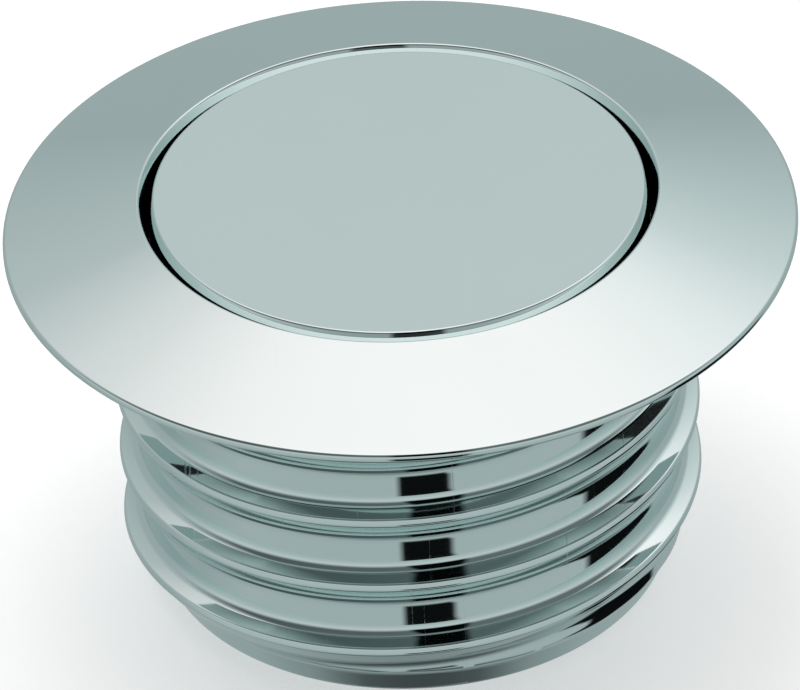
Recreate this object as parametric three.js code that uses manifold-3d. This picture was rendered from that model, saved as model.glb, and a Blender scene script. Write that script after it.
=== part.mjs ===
// A screw-in filler cap with a flush centre button that pops up to become the grip.
// Millimetres, +Z up. The origin is the centre of the bottom face, and the front is -Y.

import * as THREE from "three";
import { mergeVertices } from "three/addons/utils/BufferGeometryUtils.js";
import Module from "manifold-3d";

const wasm = await Module();
wasm.setup();

// ---- Driving dimensions -------------------------------------------------------------

const flangeRadius = 35;
const rimHeight = 34.6;
const bezelTop = 38;
const flangeUnderside = 33.7;
const neckRadius = 25.3;
const neckBottom = 31;
const gasketRadius = 28.6;

const crestRadius = 25.9;
const rootRadius = 24.1;
const threadPitch = 7;
const crestHeightAtFront = 7.1;
const grooveStart = -555;
const grooveEnd = 885;
const grooveFade = 75;

const wellRadius = 22.5;
const mouthWidth = 0.4;
const mouthDepth = 0.85;
const webTop = 21.5;
const webBottom = 19;
const cavityRadius = 19.6;
const plateSeatRadius = 21.5;
const plateSeatHeight = 4.2;
const plateBottom = 1.6;
const plateTop = 3.4;

const buttonRadius = 22;
const buttonTop = 38;
const buttonDisc = 2.7;
const edgeWidth = 0.4;
const edgeDepth = 0.8;
const skirtInner = 20.1;
const skirtBottom = 23.6;
const popTravel = 11;

const stemRadius = 5;
const stemBottom = 6.6;
const stemShoulder = 30.9;
const spigotRadius = 3;
const spigotTop = 34.6;
const followerHeight = 25;
const camFace = 4;
const camSeat = 2.8;

const pinCircle = 14;
const pinRadius = 1.8;
const pinBottom = 5.6;
const pinAngles = [90, 210, 330];
const screwCircle = 16.6;
const screwAngles = [30, 150, 270];
const airHoleAngles = [0, 120, 240];

const roundSides = 48;
const smallSides = 12;
const clearance = 0.1;

// ---- Finishes -----------------------------------------------------------------------

const finish = (color, roughness, metalness) =>
  new THREE.MeshStandardMaterial({ color, roughness, metalness });
const chrome = finish(0xc9d2d0, 0.06, 1);
const stainless = finish(0xa9adae, 0.25, 1);
const springSteel = finish(0x8f9496, 0.3, 1);
const bronze = finish(0xb08a4c, 0.35, 1);
const brass = finish(0xc2a45a, 0.25, 1);
const rubber = finish(0x18191a, 0.75, 0);

// ---- Solids -------------------------------------------------------------------------

const radians = (degrees) => (degrees * Math.PI) / 180;

// A point on a circle about the axis: angle 0 is +X, and 270 is the front.
function onCircle(radius, degrees) {
  return [radius * Math.cos(radians(degrees)), radius * Math.sin(radians(degrees))];
}

// A closed mesh as a solid that can be joined and cut.
function solid(geometry) {
  geometry.deleteAttribute("normal");
  geometry.deleteAttribute("uv");
  const welded = mergeVertices(geometry, 1e-4);
  const index = welded.index.array;
  const triangles = [];
  for (let i = 0; i < index.length; i += 3) {
    const [a, b, c] = index.slice(i, i + 3);
    if (a !== b && b !== c && c !== a) triangles.push(a, b, c);
  }
  const mesh = new wasm.Mesh({
    numProp: 3,
    vertProperties: new Float32Array(welded.attributes.position.array),
    triVerts: new Uint32Array(triangles),
  });
  return new wasm.Manifold(mesh);
}

function toGeometry(body) {
  const mesh = body.getMesh();
  const geometry = new THREE.BufferGeometry();
  geometry.setAttribute("position", new THREE.BufferAttribute(mesh.vertProperties, 3));
  geometry.setIndex(new THREE.BufferAttribute(mesh.triVerts, 1));
  return geometry;
}

// A solid of revolution about Z from an outline of [radius, height] points,
// listed anticlockwise: up the outside and down the inside.
function turned(outline, sides = roundSides) {
  const points = outline.map(([radius, height]) => new THREE.Vector2(radius, height));
  if (outline[0][0] > 0) points.push(points[0].clone());
  const geometry = new THREE.LatheGeometry(points, sides);
  geometry.rotateX(Math.PI / 2);
  return solid(geometry);
}

function cylinder(radius, bottom, top, [x, y] = [0, 0], sides = smallSides) {
  const geometry = new THREE.CylinderGeometry(radius, radius, top - bottom, sides);
  geometry.rotateX(Math.PI / 2);
  geometry.translate(x, y, (top + bottom) / 2);
  return solid(geometry);
}

function cone(bottomRadius, topRadius, bottom, top, [x, y] = [0, 0], sides = smallSides) {
  const geometry = new THREE.CylinderGeometry(topRadius, bottomRadius, top - bottom, sides);
  geometry.rotateX(Math.PI / 2);
  geometry.translate(x, y, (top + bottom) / 2);
  return solid(geometry);
}

function box([x0, x1], [y0, y1], [z0, z1]) {
  const geometry = new THREE.BoxGeometry(x1 - x0, y1 - y0, z1 - z0);
  geometry.translate((x0 + x1) / 2, (y0 + y1) / 2, (z0 + z1) / 2);
  return solid(geometry);
}

// A ring of round section, such as an O-ring.
function ring(radius, section, height, sides = 6) {
  const outline = [];
  for (let i = 0; i < sides; i++) {
    const angle = (2 * Math.PI * (i + 0.5)) / sides;
    outline.push([radius + section * Math.cos(angle), height + section * Math.sin(angle)]);
  }
  return turned(outline);
}

// A wire of round section along a curve.
function wire(curve, section, steps, sides = 8) {
  const outline = new THREE.Shape();
  outline.absarc(0, 0, section, 0, 2 * Math.PI);
  // A full circle is drawn with twice as many sides as curveSegments says.
  const options = { extrudePath: curve, steps, curveSegments: sides / 2, bevelEnabled: false };
  return solid(new THREE.ExtrudeGeometry(outline, options));
}

// A coil whose radius runs from one end to the other, and whose end coils lie flat
// for part of a turn.
class Coil extends THREE.Curve {
  constructor([bottomRadius, topRadius], [bottom, top], turns, flatTurns) {
    super();
    Object.assign(this, { bottomRadius, topRadius, bottom, top, turns, flatTurns });
  }

  getPoint(t, target = new THREE.Vector3()) {
    const angle = 2 * Math.PI * this.turns * t;
    const flat = this.flatTurns / this.turns;
    const climb = Math.min(1, Math.max(0, (t - flat) / (1 - 2 * flat)));
    const height = this.bottom + (this.top - this.bottom) * climb;
    const radius = this.bottomRadius + (this.topRadius - this.bottomRadius) * t;
    return target.set(radius * Math.cos(angle), radius * Math.sin(angle), height);
  }
}

function joined(first, ...rest) {
  return rest.reduce((body, next) => body.add(next), first);
}

function cut(first, ...tools) {
  return tools.reduce((body, tool) => body.subtract(tool), first);
}

// ---- The thread ---------------------------------------------------------------------

// The right-hand groove between the thread's turns, as one swept wedge. Its angle is
// measured from the front towards +X, and it climbs by one pitch in each turn. The
// upward flank is short and nearly level, and the downward one is long and cranked.
function threadGroove() {
  const step = 360 / roundSides;
  const outer = crestRadius + 0.15;
  const corners = [
    [rootRadius, 0.9],
    [outer, -0.1],
    [outer, 6.5],
    [24.75, 4.1],
  ];
  const positions = [];
  const index = [];
  const sections = Math.round((grooveEnd - grooveStart) / step) + 1;
  for (let i = 0; i < sections; i++) {
    const turn = grooveStart + i * step;
    const fade = Math.max(0, 1 - (grooveEnd - turn) / grooveFade);
    const edge = crestHeightAtFront + (threadPitch * turn) / 360;
    for (const [radius, rise] of corners) {
      const faded = radius + fade * 0.95 * (outer - radius);
      positions.push(...onCircle(faded, turn - 90), edge + rise);
    }
    if (i === 0) continue;
    for (let corner = 0; corner < 4; corner++) {
      const next = (corner + 1) % 4;
      const [a, b] = [4 * (i - 1) + corner, 4 * (i - 1) + next];
      index.push(a, a + 4, b, b, a + 4, b + 4);
    }
  }
  const last = 4 * (sections - 1);
  index.push(0, 1, 2, 0, 2, 3, last, last + 2, last + 1, last, last + 3, last + 2);
  const geometry = new THREE.BufferGeometry();
  geometry.setAttribute("position", new THREE.Float32BufferAttribute(positions, 3));
  geometry.setIndex(index);
  return solid(geometry);
}

// ---- Body ---------------------------------------------------------------------------

const bushWall = 1;
const bushHole = stemRadius + bushWall + 2 * clearance;
const pinHole = pinRadius + 0.85;
const screwBoss = 3.3;
const screwHole = 1.6;
const screwHoleTop = 13;
const airHoleCircle = 9.8;
const airHoleRadius = 1.3;
const clampScrewHole = 1.15;
const clampPost = { x: [4.7, 8.9], y: [-12.6, -8.2], top: followerHeight - 0.5 };
const clampScrewAt = [7.4, -10.4];

function capBody() {
  let body = turned([
    [22.6, 0],
    [23.9, 2.9],
    [25.7, 4.3],
    [crestRadius, 4.8],
    [crestRadius, neckBottom - 0.4],
    [neckRadius, neckBottom],
    [neckRadius, flangeUnderside],
    [flangeRadius - 0.4, flangeUnderside],
    [flangeRadius, flangeUnderside + 0.35],
    [flangeRadius, rimHeight - 0.2],
    [flangeRadius - 0.3, rimHeight + 0.1],
    [wellRadius + mouthWidth, bezelTop],
    [wellRadius, bezelTop - mouthDepth],
    [wellRadius, webTop],
    [bushHole, webTop],
    [bushHole, webBottom],
    [cavityRadius, webBottom],
    [cavityRadius, plateSeatHeight],
    [plateSeatRadius, plateSeatHeight],
    [plateSeatRadius, 0],
  ]);
  body = cut(body, threadGroove());
  for (const angle of screwAngles) {
    const at = onCircle(screwCircle, angle);
    body = joined(body, cylinder(screwBoss, plateTop + clearance, webBottom + 1, at));
    body = cut(body, cylinder(screwHole, plateTop - 1, screwHoleTop, at));
  }
  const { x, y, top } = clampPost;
  body = joined(body, box(x, y, [webTop - 1, top]));
  body = cut(body, cylinder(clampScrewHole, webTop - 0.5, top + 1, clampScrewAt));
  for (const angle of pinAngles) {
    body = cut(body, cylinder(pinHole, webBottom - 1, webTop + 1, onCircle(pinCircle, angle)));
  }
  for (const angle of airHoleAngles) {
    const at = onCircle(airHoleCircle, angle);
    body = cut(body, cylinder(airHoleRadius, webBottom - 1, webTop + 1, at));
  }
  return body;
}

// The gasket's bore clears the crests, so that it slips on over the thread.
function flangeGasket() {
  const top = flangeUnderside - clearance;
  const bottom = flangeUnderside - 2.3;
  const inner = crestRadius + clearance;
  return turned([
    [gasketRadius - 0.4, bottom],
    [gasketRadius, bottom + 0.4],
    [gasketRadius, top],
    [inner, top],
    [inner, bottom],
  ]);
}

// A plain bush in the web, with its flange on the upper face.
function flangedBush(bore, barrel, flange, [x, y]) {
  const flangeBottom = webTop + clearance / 2;
  const flangeTop = webTop + 0.8;
  const bush = turned(
    [
      [barrel, webBottom],
      [barrel, flangeBottom],
      [flange, flangeBottom],
      [flange, flangeTop],
      [bore, flangeTop],
      [bore, webBottom],
    ],
    2 * smallSides,
  );
  return bush.translate([x, y, 0]);
}

// ---- Button -------------------------------------------------------------------------

const underside = buttonTop - buttonDisc;
const hubBottom = 29.5;
const pinBoss = 3;
const pinBossBottom = 31;
const wiperHeight = 25;
const wiperGroove = 1.05;
const gripFlutes = 24;

function button() {
  let body = turned([
    [buttonRadius - 0.3, skirtBottom],
    [buttonRadius, skirtBottom + 0.3],
    [buttonRadius, wiperHeight - 0.75],
    [buttonRadius - wiperGroove, wiperHeight - 0.75],
    [buttonRadius - wiperGroove, wiperHeight + 0.75],
    [buttonRadius, wiperHeight + 0.75],
    [buttonRadius, buttonTop - edgeDepth],
    [buttonRadius - edgeWidth, buttonTop],
    [0, buttonTop],
    [0, spigotTop + 0.2],
    [spigotRadius + 0.15, spigotTop + 0.2],
    [spigotRadius + 0.15, stemShoulder + clearance],
    [stemRadius + 0.15, stemShoulder + clearance],
    [stemRadius + 0.15, hubBottom],
    [stemRadius + 2, hubBottom],
    [stemRadius + 2, underside],
    [skirtInner, underside],
    [skirtInner, skirtBottom],
  ]);
  for (const angle of pinAngles) {
    const at = onCircle(pinCircle, angle);
    body = joined(body, cylinder(pinBoss, pinBossBottom, underside + 0.5, at));
    body = cut(body, cylinder(pinRadius + 0.15, pinBossBottom - 1, underside - 0.4, at));
  }
  for (let i = 0; i < gripFlutes; i++) {
    const at = onCircle(buttonRadius + 0.8, (360 * i) / gripFlutes);
    body = cut(body, cylinder(1.4, wiperHeight + 2.6, buttonTop - 2.1, at, 8));
  }
  return body;
}

function guidePin(angle) {
  const at = onCircle(pinCircle, angle);
  const chamfer = cone(pinRadius - 0.5, pinRadius, pinBottom, pinBottom + 0.5, at);
  return joined(chamfer, cylinder(pinRadius, pinBottom + 0.5, underside - 0.6, at));
}

// ---- Latch --------------------------------------------------------------------------

const clipBottom = webBottom - popTravel - 0.95;
const clipTop = clipBottom + 0.8;
const camBottom = 12.8;
const camTop = 28.2;
const camWidth = 5.6;
const trackFloor = camSeat + 0.35;

function latchStem() {
  const stem = turned(
    [
      [stemRadius - 0.5, stemBottom],
      [stemRadius, stemBottom + 0.5],
      [stemRadius, clipBottom - 0.05],
      [stemRadius - 0.8, clipBottom - 0.05],
      [stemRadius - 0.8, clipTop + 0.05],
      [stemRadius, clipTop + 0.05],
      [stemRadius, stemShoulder],
      [spigotRadius, stemShoulder],
      [spigotRadius, spigotTop],
      [0, spigotTop],
      [0, stemBottom],
    ],
    2 * smallSides,
  );
  const seat = box(
    [-stemRadius, stemRadius],
    [-2 * stemRadius, -camSeat],
    [camBottom - 0.2, camTop + 0.2],
  );
  return cut(stem, seat);
}

// A closed outline in X and Z, as a plate between two depths in Y.
function plate(points, front, back) {
  const shape = new THREE.Shape(points.map(([x, z]) => new THREE.Vector2(x, z)));
  const geometry = new THREE.ExtrudeGeometry(shape, { depth: back - front, bevelEnabled: false });
  geometry.rotateX(Math.PI / 2);
  geometry.translate(0, back, 0);
  return solid(geometry);
}

// The follower climbs one side of the heart, rests in the notch on its top and
// leaves by the other side. The long lane below the heart is the pop-up travel.
function heartCam() {
  const half = camWidth / 2;
  const lane = 0.55;
  const notch = followerHeight - 0.75;
  const body = box([-half, half], [-camFace, -camSeat - 0.05], [camBottom, camTop]);
  const track = plate(
    [
      [-lane, followerHeight - popTravel - lane],
      [lane, followerHeight - popTravel - lane],
      [lane, notch - 7.4],
      [half - 0.45, notch - 5],
      [half - 0.45, notch + 2.6],
      [0.45 - half, notch + 2.6],
      [0.45 - half, notch - 5],
      [-lane, notch - 7.4],
    ],
    -camFace - 1,
    -trackFloor,
  );
  const heart = plate(
    [
      [0, notch - 6.4],
      [1.25, notch - 4],
      [1.25, notch + 0.3],
      [0.75, notch + 0.9],
      [0, notch],
      [-0.75, notch + 0.6],
      [-1.25, notch],
      [-1.25, notch - 4],
    ],
    -camFace,
    -trackFloor + 0.1,
  );
  return joined(cut(body, track), heart);
}

function stemClip() {
  const inner = stemRadius - 0.7;
  const clip = turned(
    [
      [stemRadius + 1.8, clipBottom],
      [stemRadius + 1.8, clipTop],
      [inner, clipTop],
      [inner, clipBottom],
    ],
    2 * smallSides,
  );
  const mouth = box([-3, 3], [0, 2 * stemRadius], [clipBottom - 1, clipTop + 1]);
  return cut(clip, mouth);
}

// The follower is one springy wire: a clamped tail, a hairpin bend and a tip in the cam.
const wireRadius = 0.4;

function latchWire() {
  const tail = 5.5;
  const bend = tail / 2;
  const bendAt = -13.4;
  const route = [
    [tail, clampPost.y[1] - 0.3],
    [tail, bendAt + 1.5],
    [tail, bendAt],
    [bend * (1 + Math.SQRT1_2), bendAt - bend * Math.SQRT1_2],
    [bend, bendAt - bend],
    [bend * (1 - Math.SQRT1_2), bendAt - bend * Math.SQRT1_2],
    [0, bendAt],
    [0, bendAt + 1.5],
    [0, -trackFloor - 0.1],
  ];
  const points = route.map(([x, y]) => new THREE.Vector3(x, y, followerHeight));
  return wire(new THREE.CatmullRomCurve3(points), wireRadius, 32);
}

const clampBottom = followerHeight + wireRadius + 0.1;
const clampTop = clampBottom + 0.8;

function wireClamp() {
  const { x, y } = clampPost;
  const clamp = box([x[0] + 0.1, x[1] - 0.1], [y[0] + 0.2, y[1] - 0.2], [clampBottom, clampTop]);
  return cut(clamp, cylinder(clampScrewHole, clampBottom - 1, clampTop + 1, clampScrewAt));
}

function wireClampScrew() {
  const head = cylinder(1.6, clampTop + 0.05, clampTop + 1.05, clampScrewAt);
  const shank = cylinder(1, webTop, clampTop + 0.5, clampScrewAt);
  const slot = box(
    [clampScrewAt[0] - 2, clampScrewAt[0] + 2],
    [clampScrewAt[1] - 0.25, clampScrewAt[1] + 0.25],
    [clampTop + 0.6, clampTop + 2],
  );
  return cut(joined(head, shank), slot);
}

function returnSpring() {
  const section = 0.7;
  const bottom = webTop + section + 0.05;
  const top = underside - section - 0.05;
  return wire(new Coil([18.6, 18.6], [bottom, top], 4.5, 0.75), section, 81, 6);
}

// ---- Bottom plate -------------------------------------------------------------------

const plateRadius = plateSeatRadius - 0.3;
const screwRadius = 1.45;
const screwHead = 2.75;
const screwTop = 12;
const ventHole = 4.75;

function bottomPlate() {
  let body = turned([
    [plateRadius - 0.3, plateBottom],
    [plateRadius, plateBottom + 0.3],
    [plateRadius, plateTop],
    [ventHole, plateTop],
    [ventHole, plateBottom],
  ]);
  for (const angle of screwAngles) {
    const at = onCircle(screwCircle, angle);
    body = cut(
      body,
      cylinder(screwHole, plateBottom - 1, plateTop + 1, at),
      cone(screwHead + 0.35, screwHole, plateBottom - 0.2, plateBottom + 1.3, at),
    );
  }
  return body;
}

function bottomPlateSeal() {
  const bottom = plateTop + 0.05;
  const top = plateSeatHeight - 0.05;
  return turned([
    [plateRadius, bottom],
    [plateRadius, top],
    [cavityRadius + 0.45, top],
    [cavityRadius + 0.45, bottom],
  ]);
}

function countersunkScrew(angle) {
  const at = onCircle(screwCircle, angle);
  const head = cone(screwHead, screwRadius, plateBottom + 0.1, plateBottom + 1.4, at);
  const shank = cylinder(screwRadius, plateBottom + 1.3, screwTop, at);
  const socket = cylinder(1.15, plateBottom - 1, plateBottom + 1.1, at, 6);
  return cut(joined(head, shank), socket);
}

// ---- Vacuum vent --------------------------------------------------------------------

const ventSeat = 1.15;
const ventFlangeTop = plateBottom - 0.05;
const ventTop = 4.8;
const ventBore = 2.3;
const ventBoreBottom = 3;
const ventGuide = 1.1;
const poppetStem = 0.9;
const keeperBottom = 4.2;

function ventBody() {
  return turned(
    [
      [6.3, ventSeat],
      [6.6, ventSeat + 0.2],
      [6.6, ventFlangeTop],
      [ventHole - 0.15, ventFlangeTop],
      [ventHole - 0.15, ventTop],
      [ventBore, ventTop],
      [ventBore, ventBoreBottom],
      [ventGuide, ventBoreBottom],
      [ventGuide, ventSeat],
    ],
    2 * smallSides,
  );
}

function ventNut() {
  const bottom = plateTop + 0.05;
  const top = plateTop + 1.1;
  const outer = cylinder(7.2, bottom, top, [0, 0], 6);
  return cut(outer, cylinder(ventHole - 0.05, bottom - 1, top + 1, [0, 0], 2 * smallSides));
}

function ventPoppet() {
  return turned([
    [3, 0.2],
    [3.2, 0.35],
    [3.2, 0.6],
    [poppetStem, 0.6],
    [poppetStem, keeperBottom - 0.05],
    [poppetStem - 0.2, keeperBottom - 0.05],
    [poppetStem - 0.2, ventTop],
    [0, ventTop],
    [0, 0.2],
  ], smallSides);
}

function poppetSeal() {
  return turned([
    [3.1, 0.65],
    [3.1, ventSeat - 0.05],
    [poppetStem + 0.1, ventSeat - 0.05],
    [poppetStem + 0.1, 0.65],
  ], smallSides);
}

function poppetKeeper() {
  return turned([
    [2, keeperBottom],
    [2, keeperBottom + 0.35],
    [poppetStem - 0.1, keeperBottom + 0.35],
    [poppetStem - 0.1, keeperBottom],
  ], smallSides);
}

// A conical spring: its turns nest inside one another when the poppet drops.
function ventSpring() {
  const section = 0.22;
  const bottom = ventBoreBottom + section + 0.03;
  const top = keeperBottom - section - 0.03;
  const outer = ventBore - section - 0.1;
  const inner = poppetStem + section + 0.08;
  return wire(new Coil([outer, inner], [bottom, top], 1.75, 0.2), section, 36, 6);
}

// ---- Assembly -----------------------------------------------------------------------

const cap = new THREE.Group();

function place(group, name, material, body) {
  const mesh = new THREE.Mesh(toGeometry(body), material);
  mesh.name = name;
  group.add(mesh);
}

const shell = new THREE.Group();
place(shell, "cap_body", chrome, capBody());
place(shell, "flange_gasket", rubber, flangeGasket());
place(shell, "stem_bush", bronze, flangedBush(stemRadius + clearance, stemRadius + 1.1, 8, [0, 0]));
pinAngles.forEach((angle, i) => {
  const bush = flangedBush(pinRadius + 0.15, pinHole - clearance, 3.3, onCircle(pinCircle, angle));
  place(shell, `guide_bush_${i + 1}`, bronze, bush);
});
place(shell, "latch_wire", springSteel, latchWire());
place(shell, "wire_clamp", stainless, wireClamp());
place(shell, "wire_clamp_screw", stainless, wireClampScrew());
place(shell, "return_spring", springSteel, returnSpring());
place(shell, "bottom_plate", stainless, bottomPlate());
place(shell, "bottom_plate_seal", rubber, bottomPlateSeal());
screwAngles.forEach((angle, i) => {
  place(shell, `bottom_plate_screw_${i + 1}`, stainless, countersunkScrew(angle));
});
place(shell, "vent_body", brass, ventBody());
place(shell, "vent_nut", brass, ventNut());
place(shell, "vent_spring", springSteel, ventSpring());
cap.add(shell);

const plunger = new THREE.Group();
place(plunger, "button", chrome, button());
place(plunger, "button_wiper", rubber, ring(buttonRadius - 0.38, 0.62, wiperHeight));
place(plunger, "latch_stem", stainless, latchStem());
place(plunger, "heart_cam", stainless, heartCam());
place(plunger, "stem_clip", springSteel, stemClip());
pinAngles.forEach((angle, i) => {
  place(plunger, `guide_pin_${i + 1}`, stainless, guidePin(angle));
});
cap.add(plunger);

const valve = new THREE.Group();
place(valve, "vent_poppet", brass, ventPoppet());
place(valve, "vent_poppet_seal", rubber, poppetSeal());
place(valve, "vent_poppet_keeper", springSteel, poppetKeeper());
cap.add(valve);

export default cap;
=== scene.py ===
import math

import bpy
import numpy as np
from mathutils import Matrix, Vector


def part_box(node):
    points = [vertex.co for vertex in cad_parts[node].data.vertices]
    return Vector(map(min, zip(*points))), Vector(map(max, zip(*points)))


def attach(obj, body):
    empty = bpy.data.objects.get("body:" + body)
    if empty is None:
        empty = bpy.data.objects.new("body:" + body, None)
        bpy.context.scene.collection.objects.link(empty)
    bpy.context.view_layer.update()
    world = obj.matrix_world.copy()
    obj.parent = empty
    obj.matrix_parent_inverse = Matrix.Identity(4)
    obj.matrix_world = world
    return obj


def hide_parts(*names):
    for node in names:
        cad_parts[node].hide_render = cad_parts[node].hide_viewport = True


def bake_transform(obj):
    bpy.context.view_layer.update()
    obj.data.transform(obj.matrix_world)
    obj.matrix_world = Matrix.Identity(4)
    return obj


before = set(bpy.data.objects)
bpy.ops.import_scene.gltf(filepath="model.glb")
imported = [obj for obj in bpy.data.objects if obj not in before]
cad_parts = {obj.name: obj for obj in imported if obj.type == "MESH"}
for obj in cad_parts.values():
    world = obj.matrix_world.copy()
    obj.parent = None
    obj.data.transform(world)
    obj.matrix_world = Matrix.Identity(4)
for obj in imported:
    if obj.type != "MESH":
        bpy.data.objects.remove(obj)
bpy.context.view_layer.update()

# A chrome filler cap on a pale floor. Lengths in the builders below are in millimetres,
# in the frame of the CAD, and are turned into metres when a mesh is made.

MM = 0.001


def span(node):
    """Lowest and highest corner of a CAD node, in millimetres."""
    low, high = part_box(node)
    return low / MM, high / MM


def middle(node):
    """Centre of a CAD node seen from above, in millimetres."""
    low, high = span(node)
    return (low.x + high.x) / 2, (low.y + high.y) / 2


# ---- Outlines -----------------------------------------------------------------------


def rounded(corners, closed=True, support=0.05, step=15):
    """A [radius, height] outline whose corners (radius, height, fillet) are rounded.

    A support point beside each fillet keeps the flat faces flat when shaded smooth.
    """
    points = []
    count = len(corners)
    for i, corner in enumerate(corners):
        here = Vector(corner[:2])
        fillet = corner[2] if len(corner) > 2 else 0
        if not fillet or (not closed and i in (0, count - 1)):
            points.append(here)
            continue
        back = Vector(corners[i - 1][:2]) - here
        ahead = Vector(corners[(i + 1) % count][:2]) - here
        to_back, to_ahead = back.normalized(), ahead.normalized()
        half = to_back.angle(to_ahead) / 2
        room = 0.48 * min(back.length, ahead.length)
        reach = min(fillet / math.tan(half), room)
        fillet = reach * math.tan(half)
        bisector = (to_back + to_ahead).normalized()
        centre = here + bisector * fillet / math.sin(half)
        start, end = here + to_back * reach, here + to_ahead * reach
        if reach + support < room:
            points.append(start + to_back * support)
        turn = (end - centre).angle_signed(start - centre)
        segments = max(2, math.ceil(math.degrees(abs(turn)) / step))
        arm = start - centre
        for k in range(segments + 1):
            angle = turn * k / segments
            c, s = math.cos(angle), math.sin(angle)
            points.append(centre + Vector((arm.x * c - arm.y * s, arm.x * s + arm.y * c)))
        if reach + support < room:
            points.append(end + to_ahead * support)
    return [(p.x, p.y) for p in points]


# ---- Meshes -------------------------------------------------------------------------


def welded(points, faces):
    """Merges points at the same place and drops the faces that this closes up."""
    keys = np.round(np.asarray(points) * 1e5).astype(np.int64)
    _, first, place = np.unique(keys, axis=0, return_index=True, return_inverse=True)
    place = place.ravel()
    kept = []
    for face in faces:
        loop = []
        for vertex in place[list(face)]:
            if not loop or vertex != loop[-1]:
                loop.append(int(vertex))
        if len(loop) > 1 and loop[0] == loop[-1]:
            loop.pop()
        if len(loop) > 2:
            kept.append(tuple(loop))
    return np.asarray(points)[first], kept


def make(name, points, faces):
    """A smooth-shaded mesh object from points in millimetres."""
    points, faces = welded(points, faces)
    mesh = bpy.data.meshes.new(name)
    mesh.from_pydata([tuple(p) for p in points * MM], [], faces)
    mesh.validate()
    obj = bpy.data.objects.new(name, mesh)
    bpy.context.scene.collection.objects.link(obj)
    shade(obj)
    return obj


def shade(obj, smooth_below=40):
    obj.data.shade_smooth()
    obj.data.set_sharp_from_angle(angle=math.radians(smooth_below))


def turned(outline, sides=96, at=(0, 0), closed=True):
    """Points and faces of an outline turned about the vertical axis at a place."""
    angles = 2 * math.pi * np.arange(sides) / sides
    outline = np.asarray(outline, float)
    rows = len(outline)
    points = np.empty((sides, rows, 3))
    points[:, :, 0] = at[0] + np.outer(np.cos(angles), outline[:, 0])
    points[:, :, 1] = at[1] + np.outer(np.sin(angles), outline[:, 0])
    points[:, :, 2] = outline[:, 1]
    return points.reshape(-1, 3), grid_faces(sides, rows, closed)


def grid_faces(columns, rows, closed_rows, closed_columns=True):
    faces = []
    for i in range(columns if closed_columns else columns - 1):
        a, b = i * rows, ((i + 1) % columns) * rows
        for j in range(rows if closed_rows else rows - 1):
            k = (j + 1) % rows
            faces.append((a + j, b + j, b + k, a + k))
    return faces


def lathe(name, corners, sides=96, at=(0, 0)):
    """A turned piece. An outline whose two ends lie on the axis is left open there."""
    on_axis = corners[0][0] == 0 and corners[-1][0] == 0
    outline = rounded(corners, closed=not on_axis)
    return make(name, *turned(outline, sides, at, closed=not on_axis))


def prism(name, outline, bottom, top):
    """A flat-ended piece from a closed [x, y] outline, listed anticlockwise."""
    count = len(outline)
    points = [(x, y, z) for z in (bottom, top) for x, y in outline]
    faces = [tuple(reversed(range(count))), tuple(range(count, 2 * count))]
    for i in range(count):
        j = (i + 1) % count
        faces.append((i, j, count + j, count + i))
    return make(name, points, faces)


def tube(name, path, section, sides=14):
    """A round wire along a path, with domed ends."""
    path = [Vector(p) for p in path]
    tangents = []
    for i in range(len(path)):
        before, after = path[max(i - 1, 0)], path[min(i + 1, len(path) - 1)]
        tangents.append((after - before).normalized())
    rings = [(path[0], tangents[0], -1.0, 0.02), (path[0], tangents[0], -0.75, 0.66)]
    rings += [(p, t, 0, 1) for p, t in zip(path, tangents)]
    rings += [(path[-1], tangents[-1], 0.75, 0.66), (path[-1], tangents[-1], 1.0, 0.02)]
    points = []
    normal = tangents[0].orthogonal().normalized()
    for place, tangent, along, share in rings:
        normal = (normal - tangent * normal.dot(tangent)).normalized()
        side = tangent.cross(normal)
        centre = place + tangent * along * section * 0.35
        for k in range(sides):
            angle = 2 * math.pi * k / sides
            arm = normal * math.cos(angle) + side * math.sin(angle)
            points.append(centre + arm * section * share)
    faces = grid_faces(len(rings), sides, True, closed_columns=False)
    faces = [tuple(reversed(face)) for face in faces]
    last = len(points) - sides
    faces.append(tuple(range(sides)))
    faces.append(tuple(reversed(range(last, last + sides))))
    return make(name, points, faces)


def coil(radii, bottom, top, turns, flat_turns=0.75, steps=48):
    """The path of a compression spring with flat end coils and a radius at each end."""
    path = []
    flat = flat_turns / turns
    count = int(turns * steps)
    for i in range(count + 1):
        t = i / count
        climb = min(1, max(0, (t - flat) / (1 - 2 * flat)))
        climb = climb * climb * (3 - 2 * climb) * 0.25 + climb * 0.75
        angle = 2 * math.pi * turns * t
        radius = radii[0] + (radii[1] - radii[0]) * t
        path.append((radius * math.cos(angle), radius * math.sin(angle),
                     bottom + (top - bottom) * climb))
    return path


def joined(target, operation, *tools):
    """Joins solids to target or cuts them from it, and removes the tools."""
    for tool in tools:
        modifier = target.modifiers.new("boolean", "BOOLEAN")
        modifier.operation = operation
        modifier.solver = "MANIFOLD"
        modifier.object = tool
    bake(target)
    for tool in tools:
        bpy.data.objects.remove(tool)
    return target


def bevelled(obj, width, segments=2, angle=35):
    """Rounds the piece's sharp edges; width in millimetres."""
    modifier = obj.modifiers.new("bevel", "BEVEL")
    modifier.width = width * MM
    modifier.segments = segments
    modifier.limit_method = "ANGLE"
    modifier.angle_limit = math.radians(angle)
    return bake(obj)


def bake(obj):
    graph = bpy.context.evaluated_depsgraph_get()
    mesh = bpy.data.meshes.new_from_object(obj.evaluated_get(graph))
    obj.modifiers.clear()
    obj.data = mesh
    shade(obj)
    return obj


# ---- Materials ----------------------------------------------------------------------


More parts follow.
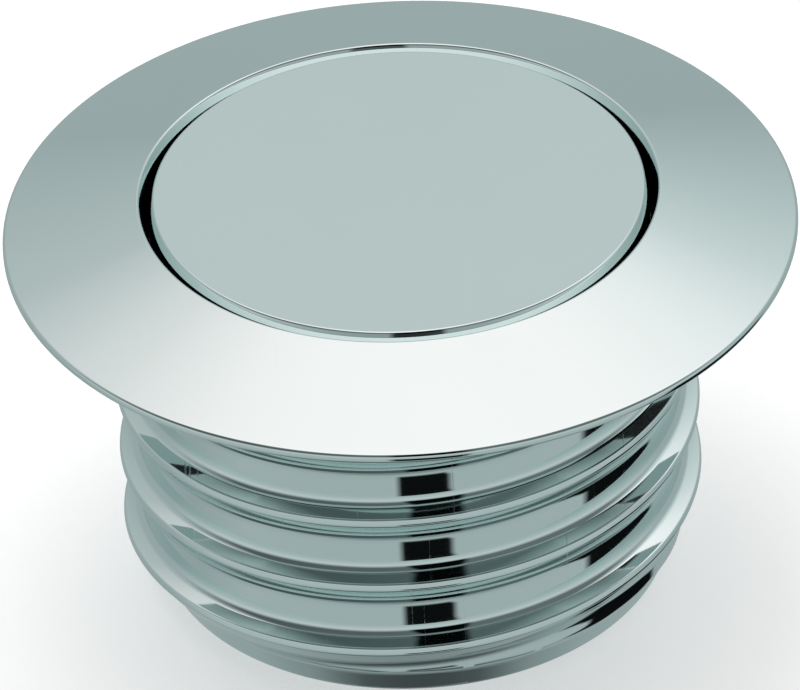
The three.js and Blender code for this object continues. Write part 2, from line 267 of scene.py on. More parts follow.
class Nodes:
    """A short way to write a material's node tree."""

    def __init__(self, name):
        self.material = bpy.data.materials.new(name)
        self.material.use_nodes = True
        self.tree = self.material.node_tree
        self.shader = self.tree.nodes["Principled BSDF"]
        self.place = self.tree.nodes.new("ShaderNodeTexCoord").outputs["Object"]

    def add(self, kind, inputs=(), **settings):
        node = self.tree.nodes.new("ShaderNode" + kind)
        for key, value in settings.items():
            setattr(node, key, value)
        for key, value in dict(inputs).items():
            self.feed(node.inputs[key], value)
        return node

    def feed(self, socket, value):
        if isinstance(value, bpy.types.NodeSocket):
            self.tree.links.new(value, socket)
        else:
            socket.default_value = value

    def maths(self, operation, a, b=0.0, c=0.0):
        node = self.add("Math", {0: a, 1: b, 2: c}, operation=operation)
        return node.outputs[0]

    def noise(self, scale, detail=2.0, roughness=0.5, vector=None):
        node = self.add("TexNoise", {
            "Vector": vector or self.place, "Scale": scale,
            "Detail": detail, "Roughness": roughness,
        })
        return node.outputs["Fac"]

    def stretched(self, scale, turn=(0, 0, 0)):
        node = self.add("Mapping", {
            "Vector": self.place, "Scale": scale,
            "Rotation": [math.radians(a) for a in turn],
        })
        return node.outputs["Vector"]

    def about_axis(self, across, along, up=0.0):
        """Coordinates for marks that run round the vertical axis of the cap."""
        split = self.add("SeparateXYZ", {0: self.place})
        x, y, z = split.outputs
        radius = self.maths("SQRT", self.maths("ADD", self.maths("MULTIPLY", x, x),
                                               self.maths("MULTIPLY", y, y)))
        angle = self.maths("ARCTAN2", y, x)
        joint = self.add("CombineXYZ", {
            0: self.maths("MULTIPLY", radius, across),
            1: self.maths("MULTIPLY", angle, along),
            2: self.maths("MULTIPLY", z, up),
        })
        return joint.outputs[0]

    def between(self, value, low, high, out_low, out_high):
        node = self.add("MapRange", {
            "Value": value, "From Min": low, "From Max": high,
            "To Min": out_low, "To Max": out_high,
        })
        return node.outputs["Result"]

    def mixed(self, share, a, b):
        node = self.add("Mix", {"Factor": share, "A": a, "B": b}, data_type="RGBA")
        return node.outputs["Result"]

    def bump(self, height, distance, under=None):
        inputs = {"Height": height, "Distance": distance * MM, "Strength": 1.0}
        if under:
            inputs["Normal"] = under
        return self.add("Bump", inputs).outputs["Normal"]

    def scratches(self, width=0.02):
        """Sparse hairlines in several directions, 1 on a scratch and 0 elsewhere."""
        total = None
        for turn in (12, 58, 101, 157):
            vector = self.stretched((2600, 30, 30), (0, 0, turn))
            lines = self.noise(1.0, 1.0, 0.4, vector)
            line = self.between(lines, 0.74, 0.74 + width * 2, 0.0, 1.0)
            total = self.maths("MAXIMUM", total, line) if total else line
        return total

    def finish(self, colour, metallic, roughness, normal, **constants):
        shader = self.shader
        for key, value in {"Base Color": colour, "Metallic": metallic,
                           "Roughness": roughness, "Normal": normal}.items():
            self.feed(shader.inputs[key], value)
        for key, value in constants.items():
            shader.inputs[key.replace("_", " ")].default_value = value
        return self.material


def chrome():
    """Polished chrome plate with faint buffing rings, hairlines and handling haze."""
    n = Nodes("chrome_plate_polished")
    haze = n.noise(45, 3, 0.6)
    rings = n.noise(1.0, 3, 0.6, n.about_axis(2200, 1.2, 400))
    hairlines = n.scratches()
    roughness = n.between(haze, 0.3, 0.75, 0.022, 0.06)
    roughness = n.maths("ADD", roughness, n.between(rings, 0.45, 0.8, 0.0, 0.03))
    roughness = n.maths("ADD", roughness, n.maths("MULTIPLY", hairlines, 0.10))
    colour = n.mixed(n.between(haze, 0.35, 0.7, 0.0, 1.0),
                     (0.69, 0.80, 0.79, 1), (0.70, 0.81, 0.80, 1))
    waves = n.bump(n.noise(160, 1, 0.4), 0.0015)
    rings_bump = n.bump(rings, 0.00012, waves)
    normal = n.bump(hairlines, -0.0003, rings_bump)
    return n.finish(colour, 1.0, roughness, normal)


def turned_steel(name, colour, low, high):
    """Machined stainless steel: fine turning marks round the axis, and a dull haze."""
    n = Nodes(name)
    marks = n.noise(1.0, 4, 0.65, n.about_axis(9000, 2.0, 7000))
    haze = n.noise(120, 3, 0.6)
    hairlines = n.scratches(0.03)
    roughness = n.between(marks, 0.3, 0.75, low, high)
    roughness = n.maths("ADD", roughness, n.maths("MULTIPLY", haze, 0.08))
    dark = tuple(0.86 * c for c in colour) + (1,)
    shade_of = n.mixed(n.between(haze, 0.35, 0.7, 0.0, 1.0), dark, tuple(colour) + (1,))
    normal = n.bump(marks, 0.0012)
    normal = n.bump(hairlines, -0.001, normal)
    return n.finish(shade_of, 1.0, roughness, normal)


def drawn_wire():
    """Hard-drawn spring steel: a grey skin with darker heat tint and draw lines."""
    n = Nodes("spring_steel_drawn")
    tint = n.noise(300, 3, 0.6)
    grain = n.noise(2500, 2, 0.7)
    colour = n.mixed(n.between(tint, 0.35, 0.7, 0.0, 1.0),
                     (0.30, 0.31, 0.33, 1), (0.50, 0.51, 0.52, 1))
    roughness = n.between(grain, 0.25, 0.8, 0.22, 0.42)
    return n.finish(colour, 1.0, roughness, n.bump(grain, 0.003))


def sintered_bronze():
    """Oil-filled sintered bronze: warm, matt and finely pitted."""
    n = Nodes("bronze_sintered")
    pores = n.add("TexVoronoi", {"Vector": n.place, "Scale": 3200.0}).outputs["Distance"]
    pits = n.between(pores, 0.12, 0.3, 0.0, 1.0)
    cloud = n.noise(250, 3, 0.6)
    warm = n.mixed(n.between(cloud, 0.35, 0.7, 0.0, 1.0),
                   (0.42, 0.24, 0.09, 1), (0.60, 0.38, 0.16, 1))
    colour = n.mixed(pits, (0.12, 0.07, 0.03, 1), warm)
    roughness = n.between(pits, 0.0, 1.0, 0.7, 0.38)
    return n.finish(colour, 1.0, roughness, n.bump(pits, 0.012))


def machined_brass():
    """Turned brass with a light brown tarnish in patches."""
    n = Nodes("brass_machined")
    marks = n.noise(1.0, 4, 0.65, n.about_axis(8000, 2.0, 6000))
    tarnish = n.between(n.noise(400, 4, 0.65), 0.45, 0.75, 0.0, 1.0)
    colour = n.mixed(tarnish, (0.72, 0.50, 0.20, 1), (0.42, 0.27, 0.11, 1))
    roughness = n.maths("ADD", n.between(marks, 0.3, 0.75, 0.16, 0.34),
                        n.maths("MULTIPLY", tarnish, 0.12))
    return n.finish(colour, 1.0, roughness, n.bump(marks, 0.0015))


def moulded_rubber():
    """Black nitrile rubber: matt, finely pebbled, with a dusty bloom."""
    n = Nodes("black_rubber_moulded")
    pebbles = n.noise(3500, 3, 0.6)
    bloom = n.between(n.noise(180, 4, 0.65), 0.4, 0.75, 0.0, 1.0)
    colour = n.mixed(bloom, (0.007, 0.008, 0.008, 1), (0.022, 0.023, 0.023, 1))
    roughness = n.between(pebbles, 0.3, 0.7, 0.48, 0.72)
    return n.finish(colour, 0.0, roughness, n.bump(pebbles, 0.012),
                    Specular_IOR_Level=0.35)


materials = {
    "chrome_plate": chrome(),
    "stainless": turned_steel("stainless_machined", (0.55, 0.56, 0.56), 0.16, 0.34),
    "spring_steel": drawn_wire(),
    "bronze": sintered_bronze(),
    "brass": machined_brass(),
    "black_rubber": moulded_rubber(),
}


def dress(obj, slot, body, *nodes):
    """Gives a piece its finish and its body, and hides the CAD nodes it stands for."""
    obj.data.materials.clear()
    obj.data.materials.append(materials[slot])
    if body:
        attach(obj, body)
    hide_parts(*nodes)
    return obj


# ---- Cap body -----------------------------------------------------------------------

# The thread is single-start and right-hand. Heights on it are measured up from its sharp
# upper edge, which is at edge_at_front on the front (-Y) and climbs towards +X.

_, body_high = span("cap_body")
seat_of_gasket = span("flange_gasket")[1].z + 0.1
rim = body_high.x
bezel_top = body_high.z
rim_height = 34.6
mouth_width = 0.4
mouth_depth = 0.85
crest = 25.9
pitch = 7.0
edge_at_front = 7.1
thread_end = 885
thread_fade = 75
neck = 25.3
neck_bottom = 31.0
well = span("button")[1].x + 0.5
web_top = span("return_spring")[0].z - 0.05
web_bottom = web_top - 2.5
web_bore = 6.2
cavity = 19.6
plate_seat = 21.5
plate_seat_height = 4.2
columns = 480

groove = np.array(rounded([
    (25.86, 0.0, 0.2),
    (24.15, 0.55, 1.1),
    (24.4, 4.2, 3.0),
    (25.94, 6.35, 0.5),
    (25.86, 7.0, 0.2),
    (24.15, 7.55, 1.1),
], closed=False, step=9))
groove_from = 0.3
groove = groove[(groove[:, 1] >= groove_from) & (groove[:, 1] < groove_from + pitch)]
lead_in = np.array(rounded([
    (22.59, 0),
    (23.87, 2.9, 1.2),
    (25.76, 4.3, 1.0),
    (27.4, 5.4),
], closed=False, step=5))


def one_pitch_of_rows(widest=0.32):
    """Heights of the mesh rows in one pitch, close together where the groove bends."""
    rows = [groove[0, 1]]
    for height in list(groove[1:, 1]) + [groove[0, 1] + pitch]:
        start, gap = rows[-1], height - rows[-1]
        if gap < 0.02:
            continue
        parts = math.ceil(gap / widest)
        rows += [start + gap * (k + 1) / parts for k in range(parts)]
    return np.array(rows[:-1])


def smooth_least(a, b, blend):
    """The lesser of two lengths, with the kink between them rounded off."""
    share = np.clip(0.5 + 0.5 * (b - a) / blend, 0, 1)
    return b + (a - b) * share - blend * share * (1 - share)


def barrel_radius(front_angle, height):
    """Radius of the threaded barrel. The angle is measured from the front towards +X."""
    above = height - edge_at_front - pitch * front_angle / 360
    rise = np.mod(above - groove_from, pitch) + groove_from
    turn = 360 * (height - rise - edge_at_front) / pitch
    fade = np.clip((thread_end - turn) / thread_fade, 0, 1)
    fade = fade * fade * (3 - 2 * fade)
    full = np.interp(rise, groove[:, 1], groove[:, 0], period=pitch)
    radius = crest - (crest - full) * fade
    opening = np.interp(height, lead_in[:, 1], lead_in[:, 0])
    return smooth_least(radius, opening, 0.12)


def barrel(bottom, top):
    """Points and faces of the threaded wall. The rows follow the helix."""
    heights = one_pitch_of_rows()
    per_turn = len(heights)
    rows = np.concatenate([heights + pitch * k for k in range(9)])
    count = len(rows)
    degrees = 360 * np.arange(columns) / columns
    z = edge_at_front - 3 * pitch + rows[None, :] + pitch * degrees[:, None] / 360
    z = np.clip(z, bottom, top)
    radius = barrel_radius(degrees[:, None], z)
    angle = np.radians(degrees - 90)[:, None]
    points = np.stack([radius * np.cos(angle), radius * np.sin(angle), z], -1)
    faces = grid_faces(columns, count, False, closed_columns=False)
    end = (columns - 1) * count
    for j in range(count - per_turn - 1):
        faces.append((end + j, j + per_turn, j + 1 + per_turn, end + j + 1))
    return points.reshape(-1, 3), faces


def cap_shell():
    """The turned faces of the cap body, from the neck over the flange to the foot."""
    wall_bottom, wall_top = 0.35, neck_bottom - 0.4
    outline = np.array(rounded([
        (crest, wall_top),
        (neck, neck_bottom, 0.25),
        (neck, seat_of_gasket, 0.25),
        (rim, seat_of_gasket, 0.5),
        (rim, rim_height, 0.4),
        (well + mouth_width, bezel_top, 0.2),
        (well, bezel_top - mouth_depth, 0.2),
        (well, web_top, 0.3),
        (web_bore, web_top, 0.2),
        (web_bore, web_bottom, 0.2),
        (cavity, web_bottom, 0.6),
        (cavity, plate_seat_height, 0.15),
        (plate_seat, plate_seat_height, 0.1),
        (plate_seat, 0, 0.2),
        (22.52, 0, 0.3),
        (22.72, wall_bottom),
    ], closed=False, step=7.5))
    degrees = 360 * np.arange(columns) / columns
    radius = np.repeat(outline[None, :, 0], columns, 0)
    radius[:, 0] = barrel_radius(degrees, wall_top)
    radius[:, -1] = barrel_radius(degrees, wall_bottom)
    height = np.repeat(outline[None, :, 1], columns, 0)
    angle = np.radians(degrees - 90)[:, None]
    points = np.stack([radius * np.cos(angle), radius * np.sin(angle), height], -1)
    wall, wall_faces = barrel(wall_bottom, wall_top)
    faces = grid_faces(columns, len(outline), False)
    start = points.shape[0] * points.shape[1]
    faces += [tuple(start + v for v in face) for face in wall_faces]
    return np.concatenate([points.reshape(-1, 3), wall]), faces


def rod(radius, bottom, top, at=(0, 0), sides=48):
    """A plain round tool for cutting or joining."""
    return lathe("tool", [(0, bottom), (radius, bottom), (radius, top), (0, top)], sides, at)


def block(low, high):
    corners = [(low[0], low[1]), (high[0], low[1]), (high[0], high[1]), (low[0], high[1])]
    return prism("tool", corners, low[2], high[2])


screws = [f"bottom_plate_screw_{i}" for i in (1, 2, 3)]
bushes = [f"guide_bush_{i}" for i in (1, 2, 3)]
pins = [f"guide_pin_{i}" for i in (1, 2, 3)]
plate_low, plate_high = span("bottom_plate")
clamp_low, clamp_high = span("wire_clamp")
wire_low, wire_high = span("latch_wire")
clamp_at = middle("wire_clamp_screw")
post_top = wire_low.z - 0.1
screw_boss = 3.3
screw_hole = 1.6
screw_hole_top = 13
bush_hole = 2.65
air_hole = 1.3
clamp_screw_hole = 1.15
air_circle = 9.8
air_holes = [(air_circle * math.cos(a), air_circle * math.sin(a))
             for a in np.radians([0, 120, 240])]


def cap_body():
    body = make("filler_cap_body", *cap_shell())
    bosses = [rod(screw_boss, plate_high.z + 0.1, web_bottom + 1, middle(s)) for s in screws]
    post = block((clamp_low.x - 0.1, clamp_low.y - 0.2, web_top - 1),
                 (clamp_high.x + 0.1, clamp_high.y + 0.2, post_top))
    joined(body, "UNION", *bosses, bevelled(post, 0.25))
    pilots = [rod(screw_hole, plate_high.z - 1, screw_hole_top, middle(s)) for s in screws]
    sockets = [rod(bush_hole, web_bottom - 1, web_top + 1, middle(b)) for b in bushes]
    airways = [rod(air_hole, web_bottom - 1, web_top + 1, at) for at in air_holes]
    clamp_hole = rod(clamp_screw_hole, web_top - 0.5, post_top + 1, clamp_at)
    joined(body, "DIFFERENCE", *pilots, *sockets, *airways, clamp_hole)
    return dress(body, "chrome_plate", "cap", "cap_body")


cap_body()
low, high = span("flange_gasket")
gasket = lathe("gasket_ring", [
    (26.0, low.z, 0.15), (high.x, low.z, 0.4), (high.x, high.z, 0.15), (26.0, high.z, 0.15),
], 240)
dress(gasket, "black_rubber", "cap", "flange_gasket")


def flanged_bush(node, bore, barrel_wall, flange):
    low, high = span(node)
    shoulder = web_top + 0.05
    bush = lathe(node.replace("bush", "bushing"), [
        (barrel_wall, low.z, 0.15), (barrel_wall, shoulder, 0.08), (flange, shoulder, 0.1),
        (flange, high.z, 0.25), (bore, high.z, 0.2), (bore, low.z, 0.2),
    ], 64, middle(node))
    dress(bush, "bronze", "cap", node)


flanged_bush("stem_bush", 5.1, 6.1, 8)
for bush in bushes:
    flanged_bush(bush, 1.95, 2.55, 3.3)

# ---- Button -------------------------------------------------------------------------

button_low, button_high = span("button")
button_edge = button_high.x
wiper_low, wiper_high = span("button_wiper")
wiper = (wiper_low.z + wiper_high.z) / 2
disc = 2.5
underside = button_high.z - disc
flutes = 24
skirt_bore = 20.1
pin_boss, pin_socket = 3.0, 1.95


def fluted(angle, radius, height):
    """The button's wall with its scalloped grips cut in, from above the wiper."""
    straight_low, straight_high, end = 28.4, 34.9, 0.8
    cutter, cutter_circle = 1.4, 22.8
    beyond = np.maximum(np.maximum(straight_low - height, height - straight_high), 0) / end
    away = end * (1 - np.sqrt(np.maximum(1 - beyond ** 2, 0)))
    centre = cutter_circle + away
    spacing = 2 * math.pi / flutes
    offset = angle - np.round(angle / spacing) * spacing
    across = centre * np.sin(offset)
    reach = np.sqrt(np.maximum(cutter ** 2 - across ** 2, 0))
    scallop = np.where((np.abs(across) < cutter) & (beyond < 1),
                       centre * np.cos(offset) - reach, radius + 1)
    return np.where(radius > 21.5, smooth_least(radius, scallop, 0.08), radius)


def button():
    wall = [(button_edge, z) for z in np.arange(27.4, 36.0, 0.2)]
    outline = np.array(rounded([
        (skirt_bore, button_low.z, 0.25),
        (button_edge, button_low.z, 0.3),
        (button_edge, wiper - 0.75, 0.12),
        (button_edge - 1.05, wiper - 0.75, 0.15),
        (button_edge - 1.05, wiper + 0.75, 0.15),
        (button_edge, wiper + 0.75, 0.12),
        *wall,
        (button_edge, button_high.z - 0.8, 0.2),
        (button_edge - 0.4, button_high.z, 0.2),
        (0, button_high.z),
        (0, 34.8),
        (3.15, 34.8, 0.1),
        (3.15, 31.0, 0.1),
        (5.15, 31.0, 0.1),
        (5.15, 29.5, 0.2),
        (7.0, 29.5, 0.3),
        (7.0, underside, 0.5),
        (skirt_bore, underside, 0.6),
    ], step=7.5))
    angle = 2 * math.pi * np.arange(columns) / columns
    radius = np.repeat(outline[None, :, 0], columns, 0)
    height = np.repeat(outline[None, :, 1], columns, 0)
    is_wall = (height > 27) & (height < 36.2)
    radius = np.where(is_wall, fluted(angle[:, None], radius, height), radius)
    points = np.stack([radius * np.cos(angle)[:, None], radius * np.sin(angle)[:, None],
                       height], -1)
    body = make("pop_up_button", points.reshape(-1, 3),
                grid_faces(columns, len(outline), True))
    joined(body, "UNION",
           *[rod(pin_boss, 31.0, underside + 0.5, middle(pin)) for pin in pins])
    joined(body, "DIFFERENCE",
           *[rod(pin_socket, 30.0, underside - 0.4, middle(pin)) for pin in pins])
    return dress(body, "chrome_plate", "plunger", "button")


button()
wiper_centre = 21.62
wiper_section = 0.62
wiper_ring = [(wiper_centre + wiper_section * math.cos(a), wiper + wiper_section * math.sin(a))
              for a in np.radians(np.arange(0, 360, 22.5))]
dress(make("wiper_o_ring", *turned(wiper_ring, 192)), "black_rubber", "plunger",
      "button_wiper")

for pin in pins:
    low, high = span(pin)
    piece = lathe(pin.replace("pin", "dowel"), [
        (0, low.z), (1.8, low.z, 0.45), (1.8, high.z, 0.2), (0, high.z),
    ], 48, middle(pin))
    dress(piece, "stainless", "plunger", pin)

# ---- Latch --------------------------------------------------------------------------

stem_low, stem_high = span("latch_stem")
clip_low, clip_high = span("stem_clip")
cam_low, cam_high = span("heart_cam")
cam_seat = cam_high.y + 0.05


def latch_stem():
    stem = lathe("push_latch_stem", [
        (0, stem_low.z),
        (5.0, stem_low.z, 0.5),
        (5.0, clip_low.z - 0.05, 0.08),
        (4.2, clip_low.z - 0.05, 0.08),
        (4.2, clip_high.z + 0.05, 0.08),
        (5.0, clip_high.z + 0.05, 0.08),
        (5.0, 30.9, 0.2),
        (3.0, 30.9, 0.15),
        (3.0, stem_high.z, 0.6),
        (0, stem_high.z),
    ], 96)
    joined(stem, "DIFFERENCE",
           block((-6, -10, cam_low.z - 0.2), (6, cam_seat, cam_high.z + 0.2)))
    return dress(stem, "stainless", "plunger", "latch_stem")


def stem_clip():
    """A spring clip with its mouth towards the back."""
    outside, inside, half_mouth = 6.8, 4.3, 3
    gap = math.asin(half_mouth / outside)
    outer = np.linspace(math.pi / 2 + gap, 5 * math.pi / 2 - gap, 60)
    inner_gap = math.asin(half_mouth / inside)
    inner = np.linspace(5 * math.pi / 2 - inner_gap, math.pi / 2 + inner_gap, 40)
    outline = [(outside * math.cos(a), outside * math.sin(a)) for a in outer]
    outline += [(inside * math.cos(a), inside * math.sin(a)) for a in inner]
    clip = bevelled(prism("stem_spring_clip", outline, clip_low.z, clip_high.z), 0.12)
    return dress(clip, "spring_steel", "plunger", "stem_clip")


def latch_wire():
    """The follower: a clamped tail, a hairpin bend and a tip that runs in the cam."""
    height = (wire_low.z + wire_high.z) / 2
    tail, bend, bend_at = 5.5, 2.75, -13.4
    path = [(tail, y, height) for y in np.linspace(clamp_high.y, bend_at, 12)]
    for angle in np.linspace(0, math.pi, 25)[1:-1]:
        path.append((bend + bend * math.cos(angle), bend_at - bend * math.sin(angle), height))
    path += [(0, y, height) for y in np.linspace(bend_at, cam_low.y + 0.75, 20)]
    return dress(tube("latch_follower_wire", path, 0.4), "spring_steel", "cap", "latch_wire")


latch_stem()
stem_clip()
latch_wire()

clamp = prism("follower_clamp", [
    (clamp_low.x, clamp_low.y), (clamp_high.x, clamp_low.y),
    (clamp_high.x, clamp_high.y), (clamp_low.x, clamp_high.y),
], clamp_low.z, clamp_high.z)
joined(clamp, "DIFFERENCE",
       rod(clamp_screw_hole, clamp_low.z - 1, clamp_high.z + 1, clamp_at))
dress(bevelled(clamp, 0.12), "stainless", "cap", "wire_clamp")

low, high = span("wire_clamp_screw")
clamp_screw = lathe("follower_clamp_screw", [
    (0, low.z), (1.0, low.z, 0.2), (1.0, clamp_high.z + 0.05, 0.05),
    (1.6, clamp_high.z + 0.05, 0.1), (1.6, high.z, 0.35), (0, high.z),
], 48, clamp_at)
joined(clamp_screw, "DIFFERENCE", block(
    (clamp_at[0] - 2, clamp_at[1] - 0.25, high.z - 0.45),
    (clamp_at[0] + 2, clamp_at[1] + 0.25, high.z + 1)))
dress(clamp_screw, "stainless", "cap", "wire_clamp_screw")

low, high = span("return_spring")
wire = 0.7
path = coil((18.6, 18.6), low.z + wire, high.z - wire, 4.5)
spring = dress(tube("button_return_spring", path, wire), "spring_steel", None, "return_spring")
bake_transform(spring)

# ---- Bottom plate and vacuum vent ---------------------------------------------------


def bottom_plate():
    low, high = plate_low, plate_high
    plate = lathe("closing_plate", [
        (4.75, low.z, 0.12), (high.x, low.z, 0.35), (high.x, high.z, 0.12),
        (4.75, high.z, 0.12),
    ], 240)
    tools = []
    for screw in screws:
        at = middle(screw)
        tools.append(lathe("tool", [
            (0, low.z - 1), (3.5, low.z - 1), (3.5, low.z - 0.2), (3.1, low.z),
            (1.6, low.z + 1.3), (1.6, high.z + 1), (0, high.z + 1),
        ], 64, at))
    joined(plate, "DIFFERENCE", *tools)
    dress(plate, "stainless", "cap", "bottom_plate")

    low, high = span("bottom_plate_seal")
    seal = lathe("closing_plate_seal", [
        (20.05, low.z, 0.15), (high.x, low.z, 0.15), (high.x, high.z, 0.15),
        (20.05, high.z, 0.15),
    ], 192)
    dress(seal, "black_rubber", "cap", "bottom_plate_seal")


def socket_screw(node):
    low, high = span(node)
    at = middle(node)
    screw = lathe(node.replace("bottom", "closing"), [
        (0, low.z), (2.75, low.z, 0.1), (1.45, low.z + 1.3, 0.1), (1.45, high.z, 0.3),
        (0, high.z),
    ], 64, at)
    corners = [(at[0] + 1.15 * math.cos(a), at[1] + 1.15 * math.sin(a))
               for a in np.radians(np.arange(0, 360, 60))]
    joined(screw, "DIFFERENCE", prism("tool", corners, low.z - 1, low.z + 1.0))
    dress(screw, "stainless", "cap", node)


def vent():
    low, high = span("vent_body")
    flange_top = plate_low.z - 0.05
    housing = lathe("vent_housing", [
        (1.1, low.z, 0.1), (6.6, low.z, 0.2), (6.6, flange_top, 0.08),
        (4.6, flange_top, 0.05), (4.6, high.z, 0.2), (2.3, high.z, 0.15),
        (2.3, 3.0, 0.1), (1.1, 3.0, 0.08),
    ], 96)
    dress(housing, "brass", "cap", "vent_body")

    low, high = span("vent_nut")
    corner_radius = 7.2
    corners = [(corner_radius * math.cos(a), corner_radius * math.sin(a))
               for a in np.radians(np.arange(0, 360, 60))]
    nut = prism("vent_lock_nut", corners, low.z, high.z)
    joined(nut, "INTERSECT", lathe("tool", [
        (4.7, low.z - 0.1, 0), (6.5, low.z - 0.1, 0), (7.4, low.z + 0.35, 0),
        (7.4, high.z - 0.35, 0), (6.5, high.z + 0.1, 0), (4.7, high.z + 0.1, 0),
    ], 96))
    dress(bevelled(nut, 0.06), "brass", "cap", "vent_nut")

    low, high = span("vent_poppet")
    keeper_low, keeper_high = span("vent_poppet_keeper")
    seal_low, seal_high = span("vent_poppet_seal")
    poppet = lathe("vent_valve_poppet", [
        (0, low.z), (3.2, low.z, 0.2), (3.2, seal_low.z - 0.05, 0.06),
        (0.9, seal_low.z - 0.05, 0.06), (0.9, keeper_low.z - 0.05, 0.04),
        (0.7, keeper_low.z - 0.05, 0.04), (0.7, high.z, 0.2), (0, high.z),
    ], 64)
    dress(poppet, "brass", "vent_valve", "vent_poppet")
    seal = lathe("vent_valve_seal", [
        (1.0, seal_low.z, 0.06), (3.1, seal_low.z, 0.12), (3.1, seal_high.z, 0.12),
        (1.0, seal_high.z, 0.06),
    ], 64)
    dress(seal, "black_rubber", "vent_valve", "vent_poppet_seal")
    keeper = lathe("vent_valve_keeper", [
        (0.8, keeper_low.z, 0.06), (2.0, keeper_low.z, 0.08), (2.0, keeper_high.z, 0.08),
        (0.8, keeper_high.z, 0.06),
    ], 64)
    dress(keeper, "spring_steel", "vent_valve", "vent_poppet_keeper")

    low, high = span("vent_spring")
    wire = 0.22
    path = coil((1.98, 1.2), low.z + wire, high.z - wire, 1.75, 0.2)
    spring = tube("vent_valve_spring", path, wire)
    dress(spring, "spring_steel", None, "vent_spring")
    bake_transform(spring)


bottom_plate()
for screw in screws:
    socket_screw(screw)
vent()

# The heart cam is the CAD node itself, in the same steel as the stem that holds it.
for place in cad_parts["heart_cam"].material_slots:
    place.material = materials["stainless"]

# ---- Camera -------------------------------------------------------------------------

# The camera looks down at the rim's centre from the front, and is tipped down a little
# further, because the whole cap sits below its rim.

elevation, roll, tip = math.radians(34.88), math.radians(-2.745), math.radians(0.689)
distance = 0.9
target = Vector((0, 0, (bezel_top - 3.5) * MM))
toward = Vector((0, math.cos(elevation), -math.sin(elevation)))
right = Vector((1, 0, 0))
up = right.cross(toward)
right, up = (right * math.cos(roll) + up * math.sin(roll),
             up * math.cos(roll) - right * math.sin(roll))
toward_tipped = toward * math.cos(tip) - up * math.sin(tip)
up = up * math.cos(tip) + toward * math.sin(tip)
turn = Matrix((right, up, -toward_tipped)).transposed()
lens = bpy.data.cameras.new("camera")
lens.sensor_width = 36
lens.lens = 460.6065
lens.clip_start, lens.clip_end = 0.01, 50
camera = bpy.data.objects.new("camera", lens)
camera.matrix_world = Matrix.Translation(target - toward * distance) @ turn.to_4x4()
bpy.context.scene.collection.objects.link(camera)
bpy.context.scene.camera = camera

# ---- Floor and light ----------------------------------------------------------------


def floor():
    reach = 9000
    points = [(-reach, -reach, 0), (reach, -reach, 0), (reach, reach, 0), (-reach, reach, 0)]
    plane = make("floor", points, [(0, 1, 2, 3)])
    n = Nodes("floor_paper")
    grain = n.noise(900, 2, 0.5)
    colour = n.mixed(n.between(grain, 0.3, 0.7, 0.0, 1.0),
                     (0.86, 0.865, 0.865, 1), (0.89, 0.895, 0.895, 1))
    n.feed(n.shader.inputs["Emission Color"], (1, 1, 1, 1))
    n.feed(n.shader.inputs["Emission Strength"], 0.45)
    n.finish(colour, 0.0, 0.9, n.bump(grain, 0.003), Specular_IOR_Level=0.1)
    plane.data.materials.append(n.material)
    # The chrome reflects the tent alone
    plane.visible_glossy = False


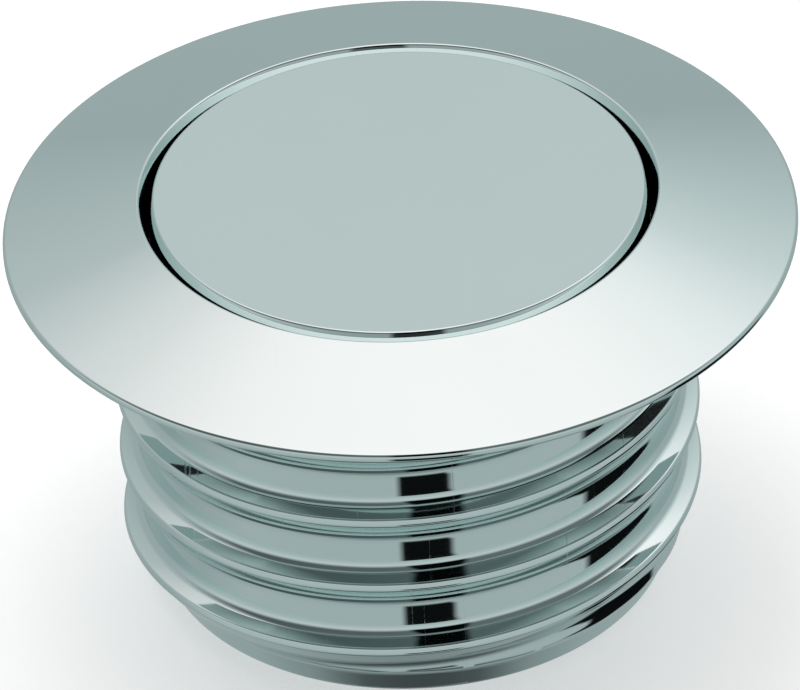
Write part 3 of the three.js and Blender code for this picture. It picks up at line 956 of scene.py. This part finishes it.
def studio():
    """A tent with bright soft light overhead, grey walls, a dim band high in front and a
    dark ground. Three black cards show in the chrome: a high and a low one in front, and a
    low one on the right."""
    world = bpy.data.worlds.new("studio")
    bpy.context.scene.world = world
    world.use_nodes = True
    tree = world.node_tree
    tree.nodes.clear()

    def add(kind, inputs=(), **settings):
        node = tree.nodes.new("ShaderNode" + kind)
        for key, value in settings.items():
            setattr(node, key, value)
        for key, value in dict(inputs).items():
            if isinstance(value, bpy.types.NodeSocket):
                tree.links.new(value, node.inputs[key])
            else:
                node.inputs[key].default_value = value
        return node

    def maths(operation, a, b=0.0):
        return add("Math", {0: a, 1: b}, operation=operation).outputs[0]

    def step(value, low, high, soft):
        """1 between low and high, and 0 outside, with soft edges."""
        rising = add("MapRange", {"Value": value, "From Min": low - soft,
                                  "From Max": low + soft}).outputs["Result"]
        falling = add("MapRange", {"Value": value, "From Min": high - soft,
                                   "From Max": high + soft, "To Min": 1.0,
                                   "To Max": 0.0}).outputs["Result"]
        return maths("MULTIPLY", rising, falling)

    direction = add("TexCoord").outputs["Generated"]
    x, y, z = add("SeparateXYZ", {0: direction}).outputs
    height = maths("DEGREES", maths("ARCSINE", z))
    # 0 at the front, growing towards +X
    azimuth = maths("DEGREES", maths("ARCTAN2", x, maths("MULTIPLY", y, -1.0)))

    def ramp(stops):
        """Light by elevation: grey-green where it is dim, warmer where it is bright."""
        node = add("ValToRGB", {0: add("MapRange", {
            "Value": height, "From Min": -90.0, "From Max": 90.0}).outputs["Result"]})
        elements = node.color_ramp.elements
        for i, (at, level) in enumerate(stops):
            place = (at + 90) / 180
            element = elements[i] if i < 2 else elements.new(place)
            element.position = place
            redness = min(1.12, max(0.86, 0.71 + 0.36 * level))
            element.color = (level * redness, level, level, 1)
        return node.outputs["Color"]

    front = ramp([(-90, 0.06), (-83, 0.08), (-75, 0.12), (-67, 0.30), (-58, 0.48),
                  (-40, 0.52), (-12, 0.60), (0, 0.68), (10, 0.60), (20, 0.30), (27, 0.15),
                  (50, 0.15), (66, 0.22), (73, 0.90), (82, 1.2), (90, 1.25)])
    back = ramp([(-90, 0.13), (-75, 0.25), (-60, 0.40), (-10, 0.47), (16, 0.48),
                 (29, 0.62), (36, 0.70), (46, 0.92), (60, 1.12), (90, 1.25)])
    in_front = step(azimuth, -95, 95, 15)
    tent = add("MixRGB", {0: in_front, 1: back, 2: front}).outputs[0]
    right_side = maths("MULTIPLY", x, step(height, 25, 60, 10))
    side = maths("ADD", maths("MULTIPLY", right_side, 0.3), 1.0)
    ahead = step(azimuth, -6, 17, 1.5)
    high_card = maths("MULTIPLY", ahead, step(height, 15, 60, 3))
    low_card = maths("MULTIPLY", ahead, step(height, -52, -34, 2))
    front_card = maths("MAXIMUM", high_card, low_card)
    right_card = maths("MULTIPLY", step(azimuth, 82, 126, 2), step(height, -58, -32, 2))
    cards = maths("MAXIMUM", front_card, right_card)
    seen = maths("MULTIPLY", side, maths("SUBTRACT", 1.0, maths("MULTIPLY", cards, 0.99)))
    background = add("Background", {"Color": tent, "Strength": seen})
    add("OutputWorld", {"Surface": background.outputs[0]})


def softbox():
    data = bpy.data.lights.new("softbox", "AREA")
    data.shape = "RECTANGLE"
    data.size, data.size_y = 0.9, 0.7
    data.energy = 3.0
    light = bpy.data.objects.new("softbox", data)
    light.location = (-0.25, 0.35, 1.1)
    towards_cap = Vector((0, 0, 0)) - light.location
    light.rotation_euler = towards_cap.to_track_quat("-Z", "Y").to_euler()
    light.visible_glossy = False
    bpy.context.scene.collection.objects.link(light)


floor()
studio()
softbox()
bpy.context.scene.view_settings.view_transform = "Standard"
